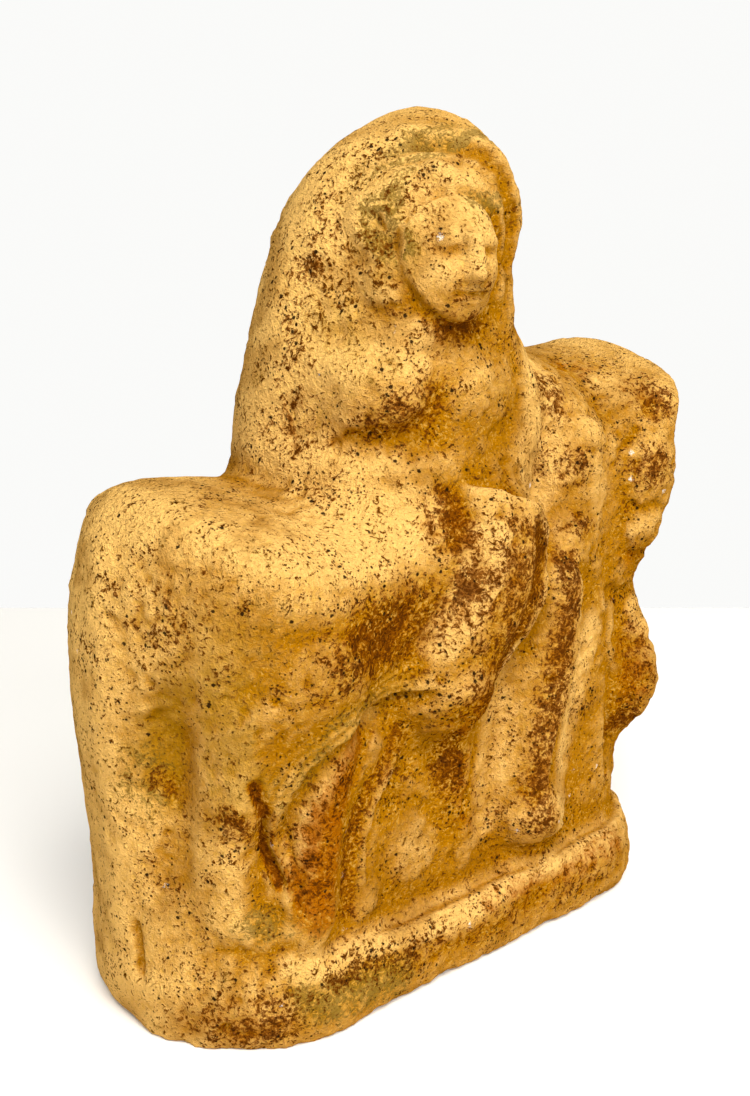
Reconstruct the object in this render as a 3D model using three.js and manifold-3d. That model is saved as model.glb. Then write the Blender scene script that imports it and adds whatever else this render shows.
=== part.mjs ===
// A mould-made terracotta figurine: a veiled woman rides side-saddle on a walking horse.
// Rider, horse and plinth are one pressed piece of clay with relief on the front,
// a rounded rim and a plain, hand-smoothed back. It stands on a flat underside.
// Units are millimetres. +Z is up, the relief faces -Y and the horse walks towards +X.
import * as THREE from "three";
import Module from "manifold-3d";
import { mergeVertices } from "three/addons/utils/BufferGeometryUtils.js";

// Driving dimensions
const HEIGHT = 165;
const LEFT_END = -66;
const RIGHT_END = 67;
const RUMP_TOP = 98.5;
const POLL_TOP = 119;
const VEIL_LEFT = -34;
const VEIL_RIGHT = 22;
const FRONT_DEPTH = 30;
const BACK_DEPTH = 25;
const BACK_LEAN = 8;
const TOP_LEAN = 6;
const ROUND_LEFT = 30;
const ROUND_RIGHT = 24;
const ROUND_TOP = 19;
const BACK_ROUNDING = 1.3;
const PLINTH_HEIGHT = 14;
const PLINTH_STEP = 5;
const FOOT_ROUND = 6;
const FOOT_INSET = 0.045;
const UNDERCUT = 20;

// Mesh fineness
const SEGMENTS = 148;
const FRONT_RINGS = 26;
const BACK_RINGS = 8;
const OUTLINE_SAMPLES = 360;
const CENTRE = new THREE.Vector2(0, 76);

// Outline of the whole piece seen from the front, clockwise from the plinth's left corner.
// It runs on below the ground, where the flat underside cuts it off.
function outlineCurve() {
  const hind = [
    [LEFT_END + 1, -UNDERCUT],
    [LEFT_END, 4],
    [LEFT_END + 0.6, 22],
    [LEFT_END - 0.6, 46],
    [LEFT_END - 2, 62],
    [LEFT_END - 1.6, 76],
    [LEFT_END + 0.4, 88],
    [LEFT_END + 4, 95.5],
    [LEFT_END + 10, RUMP_TOP + 0.3],
    [VEIL_LEFT - 8, RUMP_TOP],
    [VEIL_LEFT + 0.2, RUMP_TOP - 0.8],
  ];
  const veil = [
    [VEIL_LEFT + 0.8, RUMP_TOP + 2],
    [VEIL_LEFT + 2.4, RUMP_TOP + 13],
    [VEIL_LEFT + 5.2, HEIGHT - 35],
    [VEIL_LEFT + 9.6, HEIGHT - 21.5],
    [VEIL_LEFT + 16.4, HEIGHT - 10.6],
    [VEIL_LEFT + 26.5, HEIGHT - 3.8],
    [5, HEIGHT],
    [13.5, HEIGHT - 4],
    [VEIL_RIGHT - 2, HEIGHT - 14],
    [VEIL_RIGHT, HEIGHT - 26],
    [VEIL_RIGHT + 0.3, POLL_TOP + 13],
  ];
  const head = [
    [VEIL_RIGHT + 3, POLL_TOP + 5.5],
    [VEIL_RIGHT + 9, POLL_TOP + 0.5],
    [VEIL_RIGHT + 20, POLL_TOP - 0.5],
    [RIGHT_END - 8, POLL_TOP + 1.5],
    [RIGHT_END, POLL_TOP - 2.5],
    [RIGHT_END + 2.5, POLL_TOP - 15],
    [RIGHT_END + 1.5, POLL_TOP - 32],
    [RIGHT_END - 1, POLL_TOP - 44],
    [RIGHT_END - 4.5, POLL_TOP - 54],
  ];
  const foreleg = [
    [RIGHT_END - 2.5, 58],
    [RIGHT_END - 1, 48],
    [RIGHT_END - 2, 38],
    [RIGHT_END - 6, 30],
    [RIGHT_END - 6, 14],
    [RIGHT_END - 4, 4],
    [RIGHT_END - 5, -UNDERCUT],
  ];
  const stops = [...hind, ...veil, ...head, ...foreleg];
  const points = stops.map(([x, z]) => new THREE.Vector3(x, z, 0));
  return new THREE.CatmullRomCurve3(points, true, "centripetal");
}

const outline = outlineCurve()
  .getSpacedPoints(OUTLINE_SAMPLES)
  .slice(0, OUTLINE_SAMPLES)
  .map((p) => new THREE.Vector2(p.x, p.y));

// Polar form of the outline around CENTRE: its radius at a given angle.
const spokes = outline
  .map((p) => p.clone().sub(CENTRE))
  .map((p) => ({ angle: p.angle(), radius: p.length() }))
  .sort((a, b) => a.angle - b.angle);

function outlineRadius(angle) {
  const turn = 2 * Math.PI;
  const a = ((angle % turn) + turn) % turn;
  const next = spokes.findIndex((s) => s.angle >= a);
  const high = next < 0 ? 0 : next;
  const low = (high + spokes.length - 1) % spokes.length;
  const start = spokes[low].angle - (high === 0 && a < spokes[low].angle ? turn : 0);
  const end = spokes[high].angle + (next < 0 ? turn : 0);
  const share = (a - start) / Math.max(end - start, 1e-9);
  return THREE.MathUtils.lerp(spokes[low].radius, spokes[high].radius, share);
}

// Distance from a point to a chain of straight stretches, where a millimetre across
// counts as 1 / across and a millimetre up counts as 1 / up.
function distanceToChain(x, z, chain, across = 1, up = 1) {
  let nearest = Infinity;
  for (let i = 1; i < chain.length; i++) {
    const ax = (chain[i - 1][0] - x) / across;
    const az = (chain[i - 1][1] - z) / up;
    const dx = (chain[i][0] - chain[i - 1][0]) / across;
    const dz = (chain[i][1] - chain[i - 1][1]) / up;
    const share = THREE.MathUtils.clamp(-(ax * dx + az * dz) / (dx * dx + dz * dz), 0, 1);
    nearest = Math.min(nearest, Math.hypot(ax + share * dx, az + share * dz));
  }
  return nearest;
}

const rim = [...outline, outline[0]].map((p) => [p.x, p.y]);

// How far a point is from the rim, from 0 on the outline to 1 where the rounding has ended.
function rimShare(x, z, widen) {
  const across = widen * (x < CENTRE.x ? ROUND_LEFT : ROUND_RIGHT);
  return Math.min(1, distanceToChain(x, z, rim, across, widen * ROUND_TOP));
}

// Quarter-round from 0 at the rim to 1 where the rounding has ended.
function rimProfile(x, z, widen = 1) {
  const inset = 1 - rimShare(x, z, widen);
  return Math.sqrt(Math.max(0, 1 - inset * inset));
}

// A low dome on an elliptical foot, turned by a number of degrees anticlockwise.
function mound(x, z, form) {
  const [cx, cz] = form.at;
  const [rx, rz] = form.half;
  const a = THREE.MathUtils.degToRad(form.turn ?? 0);
  const u = ((x - cx) * Math.cos(a) + (z - cz) * Math.sin(a)) / rx;
  const v = (-(x - cx) * Math.sin(a) + (z - cz) * Math.cos(a)) / rz;
  return form.rise * Math.max(0, 1 - u * u - v * v) ** (form.soft ?? 1.5);
}

// A rounded ridge, or a groove where its rise is negative, along a few straight stretches.
function ridge(x, z, form) {
  const share = distanceToChain(x, z, form.along) / form.width;
  return form.rise * Math.max(0, 1 - share * share) ** (form.soft ?? 1.5);
}

const step = THREE.MathUtils.smoothstep;

// The horse: hindquarters, belly, tail, two hind legs, planted and raised forelegs, neck, head.
const HORSE_MOUNDS = [
  { at: [-54, 84], half: [24, 24], rise: 2 },
  { at: [-60, 56], half: [11, 17], rise: -2 },
  { at: [18, 25], half: [9, 9], rise: 2.2, soft: 1 },
  { at: [57, 50], half: [13, 20], rise: 8, soft: 0.9 },
  { at: [58, 96], half: [15, 28], rise: 6, turn: -4, soft: 1 },
  { at: [60, 111], half: [11, 11], rise: 2.5 },
  { at: [60, 92], half: [11, 9], rise: 1.5 },
];
const HORSE_RIDGES = [
  { along: [[-56, 83], [-30, 83], [-8, 82]], width: 25, rise: 6, soft: 0.75 },
  { along: [[-40, 66], [-48, 52]], width: 12, rise: 4, soft: 1 },
  { along: [[-54, 62], [-53, 42], [-52, 24]], width: 6, rise: 2.4 },
  { along: [[-49, 50], [-48, 33]], width: 3, rise: -1.6 },
  { along: [[-35, 55], [-38, 42], [-41, 20]], width: 8, rise: 3.4 },
  { along: [[-23, 54], [-28, 40], [-29, 20]], width: 5.5, rise: 2.2 },
  { along: [[22, 78], [22, 60], [17, 44], [17, 22]], width: 9, rise: 4.6, soft: 1 },
  { along: [[27, 112], [34, 98], [34, 80]], width: 9, rise: 2 },
  { along: [[42, 104], [43, 86], [44, 70], [47, 50], [45, 30]], width: 6, rise: -2 },
];

// The rider: shoulder, breasts, knees with the hanging lower legs, and the head in its veil.
const RIDER_MOUNDS = [
  { at: [-25, 120], half: [16, 13], rise: 5, soft: 1 },
  { at: [-24, 112], half: [11, 7], rise: 2.5, soft: 1 },
  { at: [-3, 113], half: [12, 10], rise: 3, soft: 1.2 },
  { at: [-11, 57], half: [10, 8], rise: 3.5, soft: 1 },
  { at: [-10, 137], half: [13, 15], rise: 8, soft: 0.9 },
];
const RIDER_RIDGES = [
  { along: [[1, 85], [-2, 72], [-8, 61]], width: 13.5, rise: 6, soft: 0.8 },
  { along: [[-24, 130], [-23, 146], [-10, 156], [3, 154], [11, 143], [12, 128]], width: 7, rise: 3 },
  { along: [[24, 121], [22, 104], [19, 92], [18, 82]], width: 7, rise: -3 },
  { along: [[-4, 52], [-3, 22]], width: 4.5, rise: 1.5 },
];

function frontRelief(x, z) {
  const rises = [
    ...[...HORSE_MOUNDS, ...RIDER_MOUNDS].map((form) => mound(x, z, form)),
    ...[...HORSE_RIDGES, ...RIDER_RIDGES].map((form) => ridge(x, z, form)),
  ];
  const plinth = PLINTH_STEP * (1 - step(z, PLINTH_HEIGHT - 2, PLINTH_HEIGHT + 3.5));
  return plinth + rises.reduce((sum, rise) => sum + rise, 0);
}

// Depth of the front and of the back surface, from the rim, at one point of the outline's plane.
function frontDepth(x, z) {
  const background = FRONT_DEPTH - TOP_LEAN * step(z, RUMP_TOP, HEIGHT);
  return rimProfile(x, z) * (background + frontRelief(x, z));
}

function backDepth(x, z) {
  return rimProfile(x, z, BACK_ROUNDING) * (BACK_DEPTH - BACK_LEAN * step(z, 0, HEIGHT));
}

// The rim leans forward towards the top.
function rimPlane(z) {
  return -TOP_LEAN * step(z, RUMP_TOP, HEIGHT);
}

// The foot of the plinth is drawn in where it meets the ground.
function footInset(z) {
  const share = 1 - THREE.MathUtils.clamp(z / FOOT_ROUND, 0, 1);
  return 1 - FOOT_INSET * share * share;
}

// The whole piece starts as a sphere with its poles on the front and the back.
// Its rings become smaller copies of the outline, lifted to the depth at each point.
function pressedBody() {
  const rings = FRONT_RINGS + BACK_RINGS;
  const sphere = new THREE.SphereGeometry(1, SEGMENTS, rings);
  sphere.deleteAttribute("normal");
  sphere.deleteAttribute("uv");
  const body = mergeVertices(sphere, 1e-4);
  const position = body.getAttribute("position");
  for (let i = 0; i < position.count; i++) {
    const ring = (Math.acos(THREE.MathUtils.clamp(-position.getY(i), -1, 1)) / Math.PI) * rings;
    const inFront = ring <= FRONT_RINGS;
    const share = inFront ? ring / FRONT_RINGS : (rings - ring) / BACK_RINGS;
    const reach = share < 1e-4 ? 0 : 1 - (1 - share) ** 1.5;
    const angle = Math.atan2(position.getZ(i), position.getX(i));
    const radius = reach * outlineRadius(angle);
    const x = CENTRE.x + radius * Math.cos(angle);
    const z = CENTRE.y + radius * Math.sin(angle);
    const y = rimPlane(z) + (inFront ? -frontDepth(x, z) : backDepth(x, z));
    position.setXYZ(i, x * footInset(z), y * footInset(z), z);
  }
  return body;
}

const wasm = await Module();
wasm.setup();

function toSolid(geometry) {
  const plain = geometry.clone();
  plain.deleteAttribute("normal");
  plain.deleteAttribute("uv");
  const merged = mergeVertices(plain, 1e-4);
  return new wasm.Manifold(
    new wasm.Mesh({
      numProp: 3,
      vertProperties: new Float32Array(merged.getAttribute("position").array),
      triVerts: new Uint32Array(merged.index.array),
    }),
  );
}

function toGeometry(solid) {
  const mesh = solid.getMesh();
  const geometry = new THREE.BufferGeometry();
  geometry.setAttribute("position", new THREE.BufferAttribute(mesh.vertProperties, 3));
  geometry.setIndex(new THREE.BufferAttribute(mesh.triVerts, 1));
  return geometry;
}

// The underside is cut flat, then the piece is centred over the middle of its own width and depth.
function standingBody() {
  const ground = new THREE.BoxGeometry(4 * HEIGHT, 4 * HEIGHT, 2 * HEIGHT);
  ground.translate(0, 0, -HEIGHT);
  const geometry = toGeometry(toSolid(pressedBody()).subtract(toSolid(ground)));
  geometry.computeBoundingBox();
  const middle = geometry.boundingBox.getCenter(new THREE.Vector3());
  geometry.translate(-middle.x, -middle.y, 0);
  geometry.computeVertexNormals();
  return geometry;
}

const terracotta = new THREE.MeshStandardMaterial({
  color: new THREE.Color(0.8, 0.6, 0.33),
  roughness: 0.85,
  metalness: 0,
});

const figurine = new THREE.Mesh(standingBody(), terracotta);
figurine.name = "rider_on_horse";

const part = new THREE.Group();
part.add(figurine);

export default part;
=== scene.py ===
import math

import bmesh
import bpy
import numpy as np
from mathutils import Matrix, Vector, noise


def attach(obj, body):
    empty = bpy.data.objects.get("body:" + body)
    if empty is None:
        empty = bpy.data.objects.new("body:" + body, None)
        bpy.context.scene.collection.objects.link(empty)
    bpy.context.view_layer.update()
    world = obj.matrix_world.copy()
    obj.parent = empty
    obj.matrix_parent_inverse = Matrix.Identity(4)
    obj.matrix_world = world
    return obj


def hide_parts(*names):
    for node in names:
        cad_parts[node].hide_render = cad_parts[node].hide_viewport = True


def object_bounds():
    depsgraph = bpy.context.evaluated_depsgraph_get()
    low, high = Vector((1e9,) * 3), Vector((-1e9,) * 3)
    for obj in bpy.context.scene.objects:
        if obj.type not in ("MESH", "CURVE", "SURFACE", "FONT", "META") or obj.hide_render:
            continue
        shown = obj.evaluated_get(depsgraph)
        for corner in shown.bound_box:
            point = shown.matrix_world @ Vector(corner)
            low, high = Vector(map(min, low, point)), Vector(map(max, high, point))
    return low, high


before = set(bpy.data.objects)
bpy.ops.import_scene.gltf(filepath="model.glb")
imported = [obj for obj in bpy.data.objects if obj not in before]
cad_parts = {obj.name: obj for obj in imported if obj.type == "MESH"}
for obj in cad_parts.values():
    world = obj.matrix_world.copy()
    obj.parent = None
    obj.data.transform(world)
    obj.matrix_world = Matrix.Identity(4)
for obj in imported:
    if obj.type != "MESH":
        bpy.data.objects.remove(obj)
cad_box = [list(corner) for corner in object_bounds()]
scene = bpy.context.scene


# The pressed clay body
# Rider, horse and plinth come out of one mould. The pressed lump is refined to a fine skin,
# closer on the moulded front than on the hand-smoothed back, ready for the modelling tools.
MM = 0.001
SKIN_GRAIN = 1.35
FRONT_FACING = -0.12


def applied(piece):
    """The piece with its modifiers made part of its mesh."""
    seen = piece.evaluated_get(bpy.context.evaluated_depsgraph_get())
    finished = bpy.data.meshes.new_from_object(seen)
    piece.modifiers.clear()
    piece.data = finished
    return piece


def pressed_body(node):
    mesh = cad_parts[node].data.copy()
    mesh.materials.clear()
    body = bmesh.new()
    body.from_mesh(mesh)
    bmesh.ops.remove_doubles(body, verts=body.verts, dist=0.001 * MM)
    body.to_mesh(mesh)
    body.free()
    piece = bpy.data.objects.new("terracotta_rider", mesh)
    scene.collection.objects.link(piece)
    remesh = piece.modifiers.new("even skin", "REMESH")
    remesh.mode = "VOXEL"
    remesh.voxel_size = SKIN_GRAIN * MM
    return applied(piece)


def refine_front(piece):
    skin = bmesh.new()
    skin.from_mesh(piece.data)
    skin.normal_update()
    front = {edge for face in skin.faces if face.normal.y < FRONT_FACING for edge in face.edges}
    bmesh.ops.subdivide_edges(skin, edges=list(front), cuts=1, use_grid_fill=True)
    bmesh.ops.triangulate(skin, faces=[face for face in skin.faces if len(face.edges) > 4])
    skin.to_mesh(piece.data)
    skin.free()


def wet_hand(piece, passes):
    """Smooths the skin, as a wet hand does."""
    smooth = piece.modifiers.new("wet hand", "SMOOTH")
    smooth.factor = 0.5
    smooth.iterations = passes
    return applied(piece)


figurine = pressed_body("rider_on_horse")
refine_front(figurine)
wet_hand(figurine, 9)


# The horse
# One long edge sweeps from the near hind leg up to the belly, and another goes around the
# rider's knees, with more legs behind them. The neck and head hang over the raised foreleg.
def eased(values, low, high):
    """0 below low, 1 above high, and smooth between them."""
    share = np.clip((values - low) / (high - low), 0, 1)
    return share * share * (3 - 2 * share)


class Clay:
    """A piece's points in millimetres, x to the right and z up seen from the front, and the
    way its surface faces at each. Tools raise or press the clay along that way."""

    def __init__(self, piece):
        self.mesh = piece.data
        self.count = len(self.mesh.vertices)
        self.point = self.read("co") / MM
        self.facing = self.read("normal")

    def read(self, name):
        values = np.zeros(3 * self.count)
        self.mesh.vertices.foreach_get(name, values)
        return values.reshape(-1, 3)

    def write(self):
        self.mesh.vertices.foreach_set("co", (self.point * MM).ravel())
        self.mesh.update()
        self.facing = self.read("normal")

    def front(self):
        """1 on what faces the front, falling to 0 on what faces sideways or back."""
        return eased(-self.facing[:, 1], 0.1, 0.6)

    def left_end(self):
        """1 on what faces the left end, falling to 0 on what faces the front or back."""
        return eased(-self.facing[:, 0], 0.1, 0.6)

    def seen(self, plane):
        """The points as they lie in one plane, such as the front's x and z."""
        return self.point[:, ["xyz".index(axis) for axis in plane]]

    def push(self, rises, where=None):
        """Moves the surface out by the sum of the rises, in millimetres."""
        amount = sum(rises) * (self.front() if where is None else where)
        self.point += self.facing * amount[:, None]
        self.write()


def along(path, plane="xz"):
    """Each point's distance from a path of straight stretches, positive on its right-hand
    side, and how far along the path its nearest place lies from the closer end."""
    points = clay.seen(plane)
    stops = np.array(path, float)
    runs = np.diff(stops, axis=0)
    lengths = np.linalg.norm(runs, axis=1)
    starts = np.concatenate([[0], np.cumsum(lengths)])
    gap = np.full(len(points), np.inf)
    place = np.zeros(len(points))
    for stop, run, length, start in zip(stops, runs, lengths, starts):
        away = points - stop
        share = np.clip(away @ run / length**2, 0, 1)
        off = away - share[:, None] * run
        distance = np.linalg.norm(off, axis=1)
        side = np.sign(off[:, 0] * run[1] - off[:, 1] * run[0])
        nearer = distance < np.abs(gap)
        gap = np.where(nearer, distance * np.where(side == 0, 1, side), gap)
        place = np.where(nearer, start + share * length, place)
    return gap, np.minimum(place, starts[-1] - place)


def stroke(path, width, rise, soft=1.5, plane="xz"):
    """A rounded ridge, or a groove where rise is negative, along a path."""
    gap, _ = along(path, plane)
    return rise * np.clip(1 - (gap / width) ** 2, 0, None) ** soft


def contour(path, drop, fade, ease=6):
    """The edge of a raised form: the clay on its right is cut down, and runs out again."""
    gap, inward = along(path)
    cut = eased(gap, -0.9, 0.9) * np.clip(1 - gap / fade, 0, 1) ** 1.4
    swell = 0.35 * np.clip(1 + gap / fade, 0, 1) ** 2 * (gap < 0)
    return drop * (swell - cut) * eased(inward, 0, ease)


def dome(at, half, rise, turn=0, soft=1.5, plane="xz"):
    """A swelling on an elliptical foot, turned by degrees anticlockwise."""
    away = clay.seen(plane) - np.array(at, float)
    angle = math.radians(turn)
    u = (away[:, 0] * math.cos(angle) + away[:, 1] * math.sin(angle)) / half[0]
    v = (-away[:, 0] * math.sin(angle) + away[:, 1] * math.cos(angle)) / half[1]
    return rise * np.clip(1 - u**2 - v**2, 0, None) ** soft


clay = Clay(figurine)
BELLY_EDGE = [
    (-44.5, 24), (-45, 33), (-46.3, 40), (-45.8, 47), (-43, 52.5), (-38, 56.5), (-31, 59.5),
    (-24, 61.5), (-14, 62.5),
]
KNEE_EDGE = [
    (-19, 53), (-14, 52.5), (-9, 52.5), (-3, 54.5), (3, 59), (7, 66), (11, 73), (13, 79.5),
    (12.5, 85), (9, 91), (-1, 96.5), (-10, 98),
]
SLIT = [(-52, 51.5), (-49.3, 45), (-48.3, 39), (-46, 31)]
belly = [
    contour(BELLY_EDGE, 2.2, 8),
    contour(KNEE_EDGE, 2.3, 8),
    dome((-19, 59), (6, 6), 1.4),
    dome((-10, 56), (8, 6), -1.3),
    stroke([(-27, 52), (-33, 43.5), (-37.2, 36), (-37.8, 24)], 2.6, 0.9),
    stroke([(5, 93), (11, 86), (12, 79), (8, 69)], 5, 1.2),
]
haunch = [
    stroke(SLIT, 1.2, -1.8),
    stroke([(-55.5, 58), (-55, 45), (-54, 26)], 5, 0.8),
    dome((-50, 22.5), (6, 4), 1, soft=1),
    dome((-62, 57), (8, 15), -1.4),
    dome((-57, 50), (7, 13), -0.7),
    stroke([(-62.5, 88), (-61.5, 60), (-61, 32)], 3.5, -1),
]
hind_legs = [
    stroke([(-34, 55), (-38.5, 47), (-41, 39), (-42, 30), (-42, 22)], 5, 1.4, soft=1),
    contour([(-38.6, 19), (-38.4, 31), (-37.3, 39), (-32.5, 44.5), (-28, 50)], 0.8, 4),
    stroke([(-21, 55), (-26, 48), (-30, 40), (-31.5, 32), (-31.5, 22)], 4, -1.1),
    contour([(-28.7, 22), (-28.7, 34), (-26, 40.5), (-22.5, 44.5), (-18.5, 49.5)], 1.1, 6),
    dome((-31, 21), (6, 2.6), 0.9, soft=1),
]
far_foreleg = [
    contour([(-4, 22), (-9.5, 29), (-13.5, 34), (-18, 37.2), (-24, 39.2)], 0.4, 4, ease=3),
    dome((-7.5, 43), (6, 13), 0.8),
    contour([(-6.5, 25), (-5.2, 33), (-3.6, 39), (-1, 47), (1, 54)], 0.8, 4),
]
clay.push(belly + haunch + hind_legs + far_foreleg)
near_foreleg = [
    stroke([(17.5, 73), (16.5, 60), (15, 50), (11.5, 38), (11, 27)], 7.5, 1.5, soft=1),
    contour([(9.5, 70), (7.5, 58), (6, 48), (5, 38), (5, 27)], 0.6, 8),
    contour([(14.5, 30), (16.7, 41.5), (21, 51.5), (24.5, 62.5), (25.5, 72), (24, 80)], 1.5, 7),
    dome((12.5, 28), (6, 4.5), 0.9, soft=0.8),
    dome((16, 19.5), (11, 4.5), -1.2),
]
mane = [
    dome((22.5, 111), (6, 4.5), 0.8, turn=-20),
    dome((30, 104), (5, 4), 0.6),
    dome((24.5, 96.5), (6, 5), 0.8, turn=-15),
    dome((25.5, 85), (6, 4), 0.8, turn=10),
    stroke([(20, 104), (18, 92), (18, 82)], 4, -0.7),
]
neck = [
    stroke([(42, 106), (43, 88), (44, 74)], 6, 1.2),
    stroke([(36, 108), (35, 98), (35.5, 89), (36, 80), (40, 69)], 4.5, -0.8),
    stroke([(30, 108), (34, 98), (34, 82)], 7, -0.6),
]
clay.push(near_foreleg + mane + neck)
horse_head = [
    dome((49, 110), (8, 5.5), 1),
    dome((49, 106.5), (4, 2.6), -0.9),
    dome((49.5, 106.3), (2, 1.5), 0.7),
    dome((46.5, 95), (8, 7), 1.2),
    contour([(41.5, 89), (46, 87), (52, 88)], 0.9, 5, ease=3),
    dome((48, 82), (7, 5.5), 1),
    stroke([(42, 77), (47, 75.5), (52, 76)], 1.5, -0.7),
    dome((50.5, 81), (1.7, 1.2), -0.7),
]
chest = [
    contour([(38, 70), (45, 68.5), (54, 68)], 1.5, 5, ease=3),
    contour([(40, 66), (39.5, 57), (42, 47), (44, 38), (47, 31)], 1.3, 6, ease=3),
    stroke([(42, 58), (48, 55.5), (55, 56)], 2.2, -0.6),
]
clay.push(horse_head + chest)

# The rider
# She sits sideways to the horse and faces out, in a veil that falls past the shoulders to its
# back. The breasts and the knees stand out, and the dress hangs in a wedge below them.
lap_and_knees = [
    stroke([(-11, 96), (-11, 90), (-9, 85), (-13, 77.5), (-17, 72), (-21, 67)], 4.5, -1.3),
    stroke([(-13, 95), (-14, 89)], 2.2, 0.7),
    stroke([(8, 88), (8.5, 80), (5, 71), (0, 61)], 5, -1.2),
    dome((-9, 60), (9, 7), 0.8),
    dome((-36, 86), (22, 11), 1),
]
clay.push(lap_and_knees)
breasts = [
    dome((-21, 114), (10, 8), 1.7, turn=12, soft=1.1),
    dome((-17, 112), (5, 4), 0.6),
    dome((-25, 117), (4, 4), 0.5),
    dome((-33, 112), (8, 9), -1.8),
    dome((-4, 113), (7, 6), 0.3),
    dome((-19, 104.5), (12, 4), -1.2),
]
veil_edge = [
    contour([(-34, 100), (-32.5, 112), (-29.5, 129), (-26.5, 139)], 1.6, 7),
    dome((-18, 123), (9, 4), 0.9, turn=8),
]
clay.push(breasts + veil_edge)
wet_hand(figurine, 2)
clay = Clay(figurine)

# The head in its veil
# The face is a plain oval under rolled hair, set back in the veil's opening. It is divided in
# thirds: hairline to brows, brows to nose, nose to chin, and is five eyes wide.
FACE_X = -8.5
CHIN = 126
HAIRLINE = 147
THIRD = (HAIRLINE - CHIN) / 3
BROW = HAIRLINE - THIRD
NOSE_BASE = CHIN + THIRD
EYE_LINE = BROW - 0.2 * THIRD
MOUTH = CHIN + 0.64 * THIRD
EYE = 3.85


def face(eyes, height):
    """A place on the face: so many eye widths from its middle line, at a height."""
    return (FACE_X + eyes * EYE, height)


def both(tool, left, *rest, **more):
    """The same tool on the left and, mirrored, on the right side of the face."""
    mirrored = [(-eyes, height) for eyes, height in left]
    return sum(
        tool([face(*place) for place in side], *rest, **more) for side in (left, mirrored)
    )


def pair(at, half, rise, **more):
    """The same swelling on both sides of the face."""
    return sum(dome(face(side * at[0], at[1]), half, rise, **more) for side in (-1, 1))


FACE_OVAL = [
    face(2.5 * math.cos(turn), (CHIN + HAIRLINE) / 2 + (HAIRLINE - CHIN) / 2 * math.sin(turn))
    for turn in np.linspace(-1.5 * math.pi, 0.5 * math.pi, 25)
]
HAIR_ARC = [(-3, 131), (-3.2, 139), (-2.6, 145), (-1.3, 149), (0, 150.3)]
VEIL_ARC = [(-3.6, 136), (-3.9, 142), (-3.3, 149), (-2, 154.5), (0, 156.5)]
hair_and_veil = [
    stroke([(-24.5, 126), (-24, 137)], 7, -2),
    stroke([(13, 126), (12.5, 137)], 6, -1.5),
    dome(face(0, 137), (11, 13), 1, soft=0.7),
    contour(FACE_OVAL, 1.2, 4, ease=1),
    both(stroke, HAIR_ARC, 3, 1.4, soft=1),
    both(stroke, VEIL_ARC, 2, -1),
    both(stroke, [(1.2 * eyes, z + 2.4) for eyes, z in VEIL_ARC], 3.4, 0.8),
    dome(face(-2.8, 141), (2.4, 5), -1.8),
]
clay.push(hair_and_veil)
brow_nose_and_cheeks = [
    pair((1, EYE_LINE), (0.9 * EYE, 0.4 * THIRD), -1.1),
    both(stroke, [(-1.7, BROW - 0.4), (-0.9, BROW + 0.5), (-0.2, BROW - 0.2)], 1.5, 0.5),
    stroke([face(0, BROW), face(0, NOSE_BASE + 0.8)], 0.5 * EYE, 0.9, soft=1),
    stroke([face(0, EYE_LINE), face(0, NOSE_BASE + 0.8)], 0.55 * EYE, 0.5, soft=1),
    dome(face(0, NOSE_BASE + 0.8), (0.62 * EYE, 1.6), 0.7),
    pair((1.3, NOSE_BASE + 0.8), (0.9 * EYE, 0.55 * THIRD), 0.5),
    dome(face(0, MOUTH), (1.1 * EYE, 0.42 * THIRD), 0.5),
    dome(face(0, CHIN + 1.5), (0.9 * EYE, 0.32 * THIRD), 0.7),
    stroke([face(-0.7, NOSE_BASE - 0.8), face(0.7, NOSE_BASE - 0.8)], 0.9, -0.4),
]
clay.push(brow_nose_and_cheeks)
eyes_and_lips = [
    pair((1, EYE_LINE), (0.56 * EYE, 1.35), 0.8, soft=1),
    both(stroke, [(-1.55, EYE_LINE), (-1, EYE_LINE + 1.6), (-0.45, EYE_LINE)], 0.8, 0.35),
    both(stroke, [(-1.5, EYE_LINE), (-1, EYE_LINE - 1.3), (-0.5, EYE_LINE)], 0.7, -0.35),
    dome(face(0, MOUTH + 0.9), (0.74 * EYE, 0.9), 0.5, soft=1),
    dome(face(0, MOUTH - 1), (0.6 * EYE, 0.9), 0.5, soft=1),
    both(stroke, [(-0.8, MOUTH), (0, MOUTH - 0.1)], 0.8, -0.7),
]
clay.push(eyes_and_lips)
face_share = dome(face(0, 137), (11, 12.5), 1, soft=0.5)

# The plinth and the left end
# The plinth is a low ledge with a soft, worn edge. A seam of the mould runs up the left end,
# with a short split near the bottom.
ledge = [
    contour([(60, 16), (30, 15.5), (0, 15), (-20, 15), (-40, 16.5)], 1.4, 9),
    dome((-8, 11), (20, 4), 0.6),
    dome((32, 10), (14, 4), 0.6),
    dome((-30, 11), (10, 4), -0.6),
    dome((12, 9), (7, 4), -0.6),
]
clay.push(ledge)
seam_and_split = [
    stroke([(2, 20), (1, 50), (0, 75), (2, 88)], 5, 0.8, plane="yz"),
    stroke([(-8, 30), (-9, 55), (-8, 78)], 5, -0.5, plane="yz"),
    stroke([(-3, 12), (-2, 22)], 1.3, -1.2, plane="yz"),
]
clay.push(seam_and_split, where=clay.left_end())
wet_hand(figurine, 1)
clay = Clay(figurine)


# Wear
# Centuries in the ground left the skin uneven: low waves from the potter's fingers, lumps and
# pits where grit fell out, and fine combed lines along the belly and down the veil.
def lumps(size, seed):
    """Smooth noise over the skin, from -1 to 1, with lumps of that size in millimetres."""
    shift = Vector((seed, 3 * seed, 7 * seed))
    return np.array([noise.noise(Vector(point) / size + shift) for point in clay.point])


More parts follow.
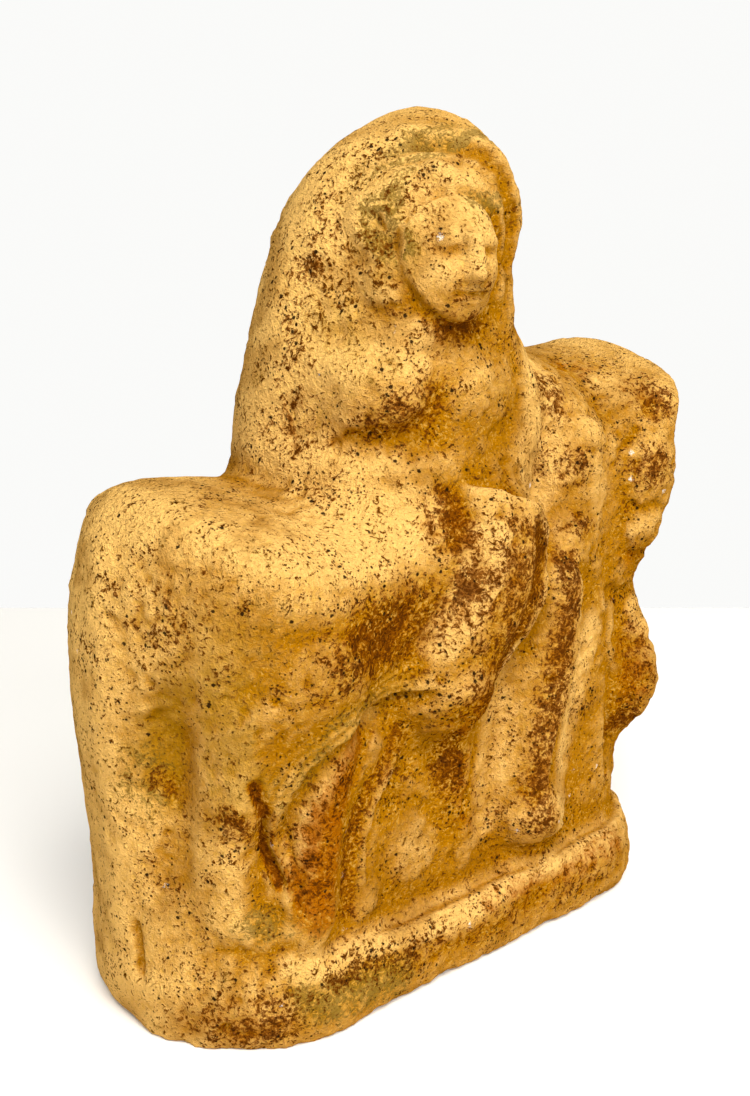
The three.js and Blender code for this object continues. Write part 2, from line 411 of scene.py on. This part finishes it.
def combed(path, reach, spacing, depth):
    """Parallel lines that follow a path on both sides, out to a reach."""
    gap, inward = along(path)
    lines = np.sin(2 * math.pi * gap / spacing + 1.5 * lumps(6, 11))
    return depth * lines * np.clip(1 - np.abs(gap) / reach, 0, 1) * eased(inward, 0, 6)


PIT_DEPTH = 2.2
worn = np.clip(0.55 + 0.9 * lumps(17, 4), 0.15, 1)
clay.push([
    combed([(x - 2, z + 2.5) for x, z in BELLY_EDGE], 5, 1.9, 0.3),
    combed([(-35, 100), (-34, 112), (-31, 129), (-28, 138)], 4, 1.9, 0.25),
    combed([(24, 44), (29, 58), (28, 70)], 3, 1.8, 0.2),
])
rough_share = 0.35 + 0.65 * eased(np.abs(clay.facing[:, 1]), 0.2, 0.7)
rough_share *= 1 - 0.8 * face_share
finger_waves = [0.5 * lumps(15, 1), 0.2 * lumps(6.5, 2)]
clay.push(finger_waves, where=1)
grit = [0.5 * worn * lumps(2.4, 3), 0.26 * lumps(1.5, 6)]
clay.push(grit, where=rough_share)
pits = np.clip(lumps(2.6, 5) - 0.3, 0, None) * worn
clay.push([-PIT_DEPTH * pits], where=rough_share)
low, high = (np.array(corner) / MM for corner in cad_box)
clay.point = np.clip(clay.point, low, high)
clay.write()


# Stains, with painted light and shade
# Soil stuck to the knees, legs and the horse's head, and rust runs down a hind leg. Pale dust
# lies on chest, lap and veil, partly as a painted highlight on the tops, and olive and
# grey-green growth on haunch, hair and plinth. The clay is painted lighter where it faces up,
# and painted shade darkens the hollows, the underside of the chin and breast, and the olive on
# the haunch and under the belly.
def hollow_share(passes):
    """1 in the hollows and 0 on the high places, from how the skin lies to its smoothed self."""
    ends = np.zeros(2 * len(clay.mesh.edges), int)
    clay.mesh.edges.foreach_get("vertices", ends)
    one, other = ends.reshape(-1, 2).T
    links = np.bincount(ends, minlength=clay.count)
    smooth = clay.point.copy()
    for _ in range(passes):
        for axis in range(3):
            values = smooth[:, axis]
            total = np.bincount(one, values[other], clay.count)
            total += np.bincount(other, values[one], clay.count)
            smooth[:, axis] = 0.3 * values + 0.7 * total / links
    sunk = ((smooth - clay.point) * clay.facing).sum(axis=1)
    return eased(sunk, -0.9, 0.9)


def layer(name, shares):
    """Keeps a share from 0 to 1 at every point of the skin, for the clay's material to read."""
    kept = clay.mesh.attributes.new(name, "FLOAT", "POINT")
    kept.data.foreach_set("value", np.clip(sum(shares), 0, 1).astype(np.float32))


front = clay.front()
left_end = clay.left_end()
UNDER_BELLY = [(-46, 50), (-36, 60), (-24, 64)]
HAUNCH_RUN = [(-61, 50), (-56, 46), (-52, 43)]
PLINTH_CORNER = [(-42, 9), (-25, 8)]
# Painted light: a share that grows as the skin faces up, so the tops of the clay are painted
# lighter.
layer("top_light", [0.5 + 0.5 * clay.facing[:, 2]])
# Painted shade: a share that is 1 in the hollows, where the clay is painted darker, with more
# stain and soil.
layer("hollow_shade", [hollow_share(60)])
layer("soil_and_shade", [front * patch for patch in (
    # the knees, hem and belly, and the folds between them
    dome((-1, 80), (14, 20), 0.85, turn=-12),
    stroke([(8, 88), (9, 80), (5, 68), (-1, 58)], 7, 0.6),
    dome((-6, 60), (12, 9), 0.9),
    dome((-28, 74), (24, 12), 0.85, turn=14),
    dome((-13, 92), (7, 7), 0.75),
    stroke([(-12, 95), (-11, 87), (-11, 80)], 3.5, 0.4),
    # the near foreleg, and the horse's head, mane and chest
    stroke([(21, 78), (19, 66), (16, 50), (13, 38), (12.5, 27)], 5.5, 1),
    dome((50, 109), (8, 7), 0.8),
    dome((47, 95), (7, 7), 1),
    dome((23, 111), (7, 6), 0.9),
    dome((25, 97), (6, 6), 0.8),
    dome((26, 85), (7, 4), 0.8),
    dome((48, 52), (8, 12), 0.6),
    dome((47, 38), (7, 6), 1),
    # under the rider's chin and on her breast: soil, and painted shade under the chin and the
    # breast
    dome((-8, 125), (11, 4), 1),
    dome((-18, 111), (10, 6), 0.85),
    dome((-13, 116), (6, 6), 0.4),
    # the legs behind, the plinth and the haunch
    dome((-8, 43), (6, 11), 1),
    stroke([(-21, 52), (-28, 43), (-33, 34), (-33, 22)], 4, 0.6),
    stroke([(-40, 12), (0, 9), (40, 10)], 6, 0.45),
    dome((-60, 80), (9, 16), 0.35),
    # the veil and the chin
    dome((-22, 146), (16, 14), 0.45, turn=45),
    stroke([(-29, 134), (-30, 118), (-31, 104)], 6, 0.5),
    dome((-8, 132), (11, 6), 0.35),
    # the slit, the near hind leg, and a run across the haunch
    stroke(SLIT, 1.4, 1.5),
    stroke([(-37, 50), (-40, 40), (-40.5, 28)], 5, 0.6),
    dome((-55, 42), (8, 8), 0.35),
    stroke(HAUNCH_RUN, 3, 0.6),
    dome((-52, 6), (14, 8), 0.8),
    dome((-22, 132), (8, 10), 0.3),
)])
# Pale dust, partly a painted highlight where the chest, lap, rump and ledges face the light.
layer("bloom_and_highlight", [front * patch for patch in (
    # the chest, lap and rump, where the pale dust is also a painted highlight on the tops
    dome((-18, 121.5), (15, 6), 1.2),
    dome((-30, 92), (24, 10), 1.1, turn=-4),
    dome((-24, 103), (13, 4), 0.5),
    dome((-58, 94), (10, 5), 0.7),
    # between the knees, along the plinth and around the legs
    stroke([(-7, 88), (-9, 82), (-13, 76), (-17, 71)], 5, 1.3),
    stroke([(-45, 16), (-20, 14.5), (20, 15), (40, 15)], 4, 0.8),
    stroke([(-44, 30), (-43, 44), (-38, 52), (-27, 58)], 3, 0.7),
    dome((-17, 29), (9, 8), 0.5),
    stroke([(6, 62), (4, 45), (2, 28)], 6, 0.8),
    stroke([(32, 62), (26, 44), (22, 26)], 6, 0.9),
    # the horse's neck and head
    stroke([(19, 116), (17, 104), (15, 92)], 9, 1.2),
    dome((42, 112), (7, 5), 0.6),
    dome((34, 92), (8, 14), 0.4),
    # the veil, down to the horse's back
    dome((-17, 146), (20, 18), 1),
    stroke([(-32, 138), (-35, 118), (-37, 102)], 6, 1),
    dome((14, 100), (12, 14), 0.4),
)] + [left_end * patch for patch in (
    stroke([(0, 10), (0, 60), (0, 90)], 26, 0.5, soft=0.7, plane="yz"),
    dome((0, 128), (24, 34), 1.2, plane="yz"),
)])
layer("rust", [front * patch for patch in (
    # the near hind leg, the slit and the haunch
    stroke([(-33, 54), (-39, 44), (-41.5, 26)], 6.5, 1.3),
    stroke(SLIT, 1.8, 1.5),
    stroke(HAUNCH_RUN, 4, 0.5),
    # the horse's chest and head
    dome((48, 75), (8, 7), 0.7),
    dome((46, 47), (8, 12), 0.8),
    dome((38, 115.5), (12, 4), 1),
    # below the knees, the belly, the plinth and the far foreleg
    dome((-8, 55), (14, 8), 0.7),
    dome((-30, 74), (18, 10), 0.5),
    dome((-12, 91), (7, 6), 0.8),
    stroke([(0, 13), (20, 12), (40, 13)], 4, 0.8),
    stroke([(-6, 50), (-4, 30)], 6, 0.6),
)])
layer("olive_and_shade", [front * patch for patch in (
    # the haunch and belly: an olive tint, and painted shade where they face down
    dome((-58, 56), (10, 20), 1.3),
    dome((-57, 76), (9, 16), 0.7),
    stroke(UNDER_BELLY, 8, 0.6),
    # the hair, the plinth and the veil
    stroke([(-18.5, 145), (-19, 136)], 5, 0.8),
    stroke(PLINTH_CORNER, 8, 0.6),
    dome((-25, 125), (8, 14), 0.7),
    dome((-3, 66), (8, 8), 0.4),
)])
layer("growth", [front * patch for patch in (
    # the hair and the veil's edge above it
    stroke([(-19, 146), (-16, 151), (-11, 154.5), (-3, 157)], 2.8, 1.4),
    stroke([(-8, 157), (-1, 159), (4, 158)], 2.8, 1.1),
    stroke([(-18.5, 145), (-19, 138)], 3.6, 1.5),
    stroke([(-6, 146.5), (2, 146)], 2.5, 0.9),
    # the haunch, plinth and belly, and the veil's side
    dome((-62, 50), (7, 10), 0.6),
    stroke(PLINTH_CORNER, 8, 1),
    stroke(UNDER_BELLY, 6, 0.35),
    dome((-50, 24), (7, 5), 0.9),
    dome((-25, 130), (7, 10), 0.4),
)])


# Terracotta
# Matt ochre clay with a dusty bloom that is partly a painted highlight. It is painted lighter
# where it faces up and darker in the hollows as painted shade. Soil, rust and growth lie over it
# in ragged patches, and the whole skin is peppered with dark pores and a few white grains.
class Wire:
    """A shader socket that takes part in Python sums, each of which adds a Math node."""

    def __init__(self, tree, socket=None):
        self.tree = tree
        self.socket = socket

    def node(self, kind, settings=None, inputs=None, out=0):
        """A node of that kind: its settings are set first, then its inputs' values or wires."""
        made = self.tree.nodes.new(kind)
        for name, value in (settings or {}).items():
            setattr(made, name, value)
        for name, value in (inputs or {}).items():
            if isinstance(value, Wire):
                self.tree.links.new(value.socket, made.inputs[name])
            else:
                made.inputs[name].default_value = value
        return Wire(self.tree, made.outputs[out])

    def maths(self, operation, *values):
        return self.node("ShaderNodeMath", {"operation": operation}, dict(enumerate(values)))

    def __add__(self, other):
        return self.maths("ADD", self, other)

    def __sub__(self, other):
        return self.maths("SUBTRACT", self, other)

    def __rsub__(self, other):
        return self.maths("SUBTRACT", other, self)

    def __mul__(self, other):
        return self.maths("MULTIPLY", self, other)

    __radd__ = __add__
    __rmul__ = __mul__

    def ramp(self, low, high):
        """0 below low, 1 above high, and smooth between them."""
        steps = {"From Min": low, "From Max": high, "Value": self}
        return self.node("ShaderNodeMapRange", {"interpolation_type": "SMOOTHSTEP"}, steps)


# Painted light and shade: the bare clay also serves as the clay's shaded colour, and the dusty
# clay as its lit colour.
SHADED_BARE_CLAY = (0.37, 0.148, 0.001, 1)
LIT_DUSTY_CLAY = (0.77, 0.45, 0.125, 1)
PALE_FLECKS = (0.90, 0.56, 0.13, 1)
BROWN_CLOUDS = (0.29, 0.11, 0.001, 1)
OLIVE_TINGE = (0.32, 0.165, 0.004, 1)
# Soil stain, brown soil and black crust are also laid on as painted shade under the chin and
# breast and in the hollows.
SOIL_STAIN = (0.33, 0.105, 0.001, 1)
RUST = (0.31, 0.08, 0, 1)
MOTTLING = (0.25, 0.09, 0.002, 1)
SPECKS = (0.24, 0.085, 0.003, 1)
GREEN_GROWTH = (0.15, 0.10, 0.012, 1)
BROWN_SOIL = (0.145, 0.036, 0.001, 1)
BLACK_CRUST = (0.06, 0.014, 0.001, 1)
SMALL_PORES = (0.045, 0.014, 0.002, 1)
LARGE_PORES = (0.022, 0.010, 0.003, 1)
WHITE_GRIT = (0.85, 0.8, 0.7, 1)
RELIEF_DEPTH = 1.2 * MM


def terracotta():
    material = bpy.data.materials.new("terracotta")
    material.use_nodes = True
    tree = material.node_tree
    tree.nodes.clear()
    start = Wire(tree)
    place = start.node("ShaderNodeTexCoord", out="Object")

    def grain(size, detail=3, rough=0.6, warp=0):
        """Noise from 0 to 1, with patches of that size in millimetres."""
        return start.node("ShaderNodeTexNoise", None, {
            "Vector": place,
            "Scale": 1 / (size * MM),
            "Detail": detail,
            "Roughness": rough,
            "Distortion": warp,
        })

    def pores(size, width, crowd, ragged):
        """Small ragged holes up to a width, in a share of the cells of a size in millimetres."""
        knobs = {"Vector": place, "Scale": 1 / (size * MM)}
        distance = start.node("ShaderNodeTexVoronoi", None, knobs, out="Distance")
        colour = start.node("ShaderNodeTexVoronoi", None, knobs, out="Color")
        chance = start.node("ShaderNodeSeparateXYZ", None, {"Vector": colour}, out="X")
        closed = (chance - crowd).ramp(0, 0.1)
        return (0.5 * width / size - distance - closed + ragged * 0.3 - 0.15).ramp(-0.05, 0.05)

    def share(name):
        return start.node("ShaderNodeAttribute", {"attribute_name": name}, out="Fac")

    def cover(below, colour, amount):
        mixed = {6: below, 7: colour, 0: amount}
        return start.node("ShaderNodeMix", {"data_type": "RGBA"}, mixed, out=2)

    fine = grain(0.5, detail=2, rough=0.7)
    mid = grain(1, rough=0.7, warp=0.8)
    coarse = grain(3.2, detail=4, rough=0.65, warp=0.6)
    broad = grain(14)
    hollow_shade = share("hollow_shade")
    bloom_and_highlight = share("bloom_and_highlight")
    clusters = grain(8).ramp(0.46, 0.66)
    large = pores(1.6, 0.66, clusters * 0.55, fine)
    small = pores(0.8, 0.4, clusters * 0.75 + 0.03, fine)
    mottle = fine * 0.45 + mid * 0.8 + coarse * 0.4
    cloud = mid * 0.35 + coarse * 0.9
    # Stain follows real soil, and thickens in the hollows and under the chin and breast as
    # painted shade.
    stain_and_shade = (share("soil_and_shade") * 0.3 + hollow_shade * 0.1 + cloud).ramp(0.74, 0.98)
    # An olive tint, which on the haunch and under the belly is also painted shade.
    olive_and_shade = (share("olive_and_shade") * 0.5 + cloud).ramp(0.68, 1.1)
    # Soil specks and black crust follow the soil layer, so they carry its painted shade under
    # the chin and breast.
    dirt_and_shade = share("soil_and_shade") + clusters * 0.3
    soil_and_shade = (dirt_and_shade * 0.22 + hollow_shade * 0.05 + mottle).ramp(0.94, 1.03)
    crust_and_shade = (dirt_and_shade * 0.16 + mottle).ramp(0.99, 1.05)
    rust = (share("rust") * 0.3 + cloud * 0.6 + mottle * 0.35).ramp(0.74, 1.04)
    growth = (share("growth") * 0.2 + mottle + coarse * 0.2).ramp(1.0, 1.1)
    specks = (fine * 0.8 + mid * 0.45 - bloom_and_highlight * 0.04).ramp(0.68, 0.78)
    pale = mottle.ramp(0.78, 0.66)
    # Painted light and shade: the lit, dusty colour grows on tops and in the bloom, and gives
    # way to the shaded bare colour in the hollows.
    lit = share("top_light") * 0.44 + bloom_and_highlight * 0.5 - hollow_shade * 0.5 - share("rust") * 0.25
    dust_and_light = (lit + mottle * 0.9).ramp(0.64, 1.2)
    grit = pores(7, 0.7, 0.35, fine)

    skin = cover(SHADED_BARE_CLAY, LIT_DUSTY_CLAY, dust_and_light)
    for colour, amount in (
        (PALE_FLECKS, pale * 0.3),
        (BROWN_CLOUDS, broad.ramp(0.48, 0.66) * 0.5),
        (OLIVE_TINGE, olive_and_shade * 0.45),
        (SOIL_STAIN, stain_and_shade * 0.65),
        (RUST, rust * 0.85),
        (MOTTLING, mottle.ramp(0.8, 1.1) * 0.45),
        (SPECKS, specks * 0.55),
        (GREEN_GROWTH, growth * 0.65),
        (BROWN_SOIL, soil_and_shade * 0.8),
        (BLACK_CRUST, crust_and_shade * 0.7),
        (SMALL_PORES, small * 0.85),
        (LARGE_PORES, large * 0.95),
        (WHITE_GRIT, grit * 0.8),
    ):
        skin = cover(skin, colour, amount)

    relief = coarse * 0.4 + mid * 0.8 + fine * 0.5 - small * 0.4 - large * 0.6
    knobs = {"Strength": 1, "Distance": RELIEF_DEPTH, "Height": relief}
    bump = start.node("ShaderNodeBump", None, knobs)
    shader = start.node("ShaderNodeBsdfPrincipled", None, {
        "Base Color": skin,
        "Roughness": 0.75 + 0.2 * fine,
        "Normal": bump,
        "Specular IOR Level": 0,
    })
    tree.links.new(shader.socket, tree.nodes.new("ShaderNodeOutputMaterial").inputs["Surface"])
    return material


figurine.data.materials.append(terracotta())
figurine.data.polygons.foreach_set("use_smooth", [True] * len(figurine.data.polygons))
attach(figurine, "root")
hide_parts("rider_on_horse")


# Table, light and camera
# A white cloth-covered table in a bright paper tent. One large soft lamp stands high in front on
# the left and a weaker one lower, near the middle, and the camera looks down a little.
CAMERA_PLACE = Vector((-148.9, -170.6, 133)) * MM
HEADING = math.radians(50.4)
LOOK_DOWN = math.radians(13.1)
TABLE_FRONT = -0.6
TABLE_BACK = 0.235
TABLE_HALF_WIDTH = 1.2
WHITE_CLOTH = (0.88, 0.87, 0.845, 1)


def table():
    top = bmesh.new()
    bmesh.ops.create_grid(top, x_segments=1, y_segments=1, size=1)
    half_depth = (TABLE_BACK - TABLE_FRONT) / 2
    bmesh.ops.scale(top, vec=(TABLE_HALF_WIDTH, half_depth, 1), verts=top.verts)
    bmesh.ops.translate(top, vec=(0, TABLE_FRONT + half_depth, 0), verts=top.verts)
    turned = Matrix.Rotation(HEADING - math.pi / 2, 3, "Z")
    bmesh.ops.rotate(top, cent=(0, 0, 0), matrix=turned, verts=top.verts)
    mesh = bpy.data.meshes.new("table")
    top.to_mesh(mesh)
    top.free()
    piece = bpy.data.objects.new("table", mesh)
    scene.collection.objects.link(piece)
    return piece


def plain(name, colour, roughness):
    material = bpy.data.materials.new(name)
    material.use_nodes = True
    shader = material.node_tree.nodes["Principled BSDF"]
    shader.inputs["Base Color"].default_value = colour
    shader.inputs["Roughness"].default_value = roughness
    return material


floor = table()
floor.data.materials.append(plain("white_cloth", WHITE_CLOTH, 0.9))
TENT_RADIUS = 2.5
TENT_PAPER = (1, 1, 0.985, 1)
TENT_GLOW = 0.96


def backdrop():
    """A bright paper tent around the table, which the camera sees but the clay doesn't."""
    tent = bmesh.new()
    bmesh.ops.create_uvsphere(tent, u_segments=48, v_segments=24, radius=TENT_RADIUS)
    bmesh.ops.reverse_faces(tent, faces=tent.faces)
    mesh = bpy.data.meshes.new("backdrop")
    tent.to_mesh(mesh)
    tent.free()
    piece = bpy.data.objects.new("backdrop", mesh)
    scene.collection.objects.link(piece)
    piece.visible_diffuse = False
    piece.visible_glossy = False
    piece.visible_shadow = False
    paper = bpy.data.materials.new("paper")
    paper.use_nodes = True
    paper.node_tree.nodes.clear()
    start = Wire(paper.node_tree)
    glow = start.node("ShaderNodeEmission", None, {"Color": TENT_PAPER, "Strength": TENT_GLOW})
    output = paper.node_tree.nodes.new("ShaderNodeOutputMaterial")
    paper.node_tree.links.new(glow.socket, output.inputs["Surface"])
    piece.data.materials.append(paper)
    return piece


backdrop()
LAMP_SIZE = 0.8
LAMP_AIM = Vector((0, 0, 0.08))
ROOM_COLOUR = (1, 0.995, 0.985, 1)
ROOM_LIGHT = 0.34
LENS = 37.8


def lamp(name, place, power, tint):
    light = bpy.data.lights.new(name, "AREA")
    light.size = LAMP_SIZE
    light.energy = power
    light.color = tint
    holder = bpy.data.objects.new(name, light)
    holder.location = place
    beam = LAMP_AIM - holder.location
    holder.rotation_euler = beam.to_track_quat("-Z", "Y").to_euler()
    scene.collection.objects.link(holder)


lamp("skylight", (-0.5, -0.85, 1.28), 32, (1, 0.98, 0.93))
lamp("window", (0.1, -1.3, 0.8), 12, (1, 0.98, 0.95))

world = bpy.data.worlds.new("bright_room")
world.use_nodes = True
background = world.node_tree.nodes["Background"]
background.inputs["Color"].default_value = ROOM_COLOUR
background.inputs["Strength"].default_value = ROOM_LIGHT
scene.world = world
scene.view_settings.view_transform = "Standard"

lens = bpy.data.cameras.new("camera")
lens.lens = LENS
lens.clip_start = 0.01
camera = bpy.data.objects.new("camera", lens)
camera.location = CAMERA_PLACE
camera.rotation_euler = (math.pi / 2 - LOOK_DOWN, 0, HEADING - math.pi / 2)
scene.collection.objects.link(camera)
scene.camera = camera
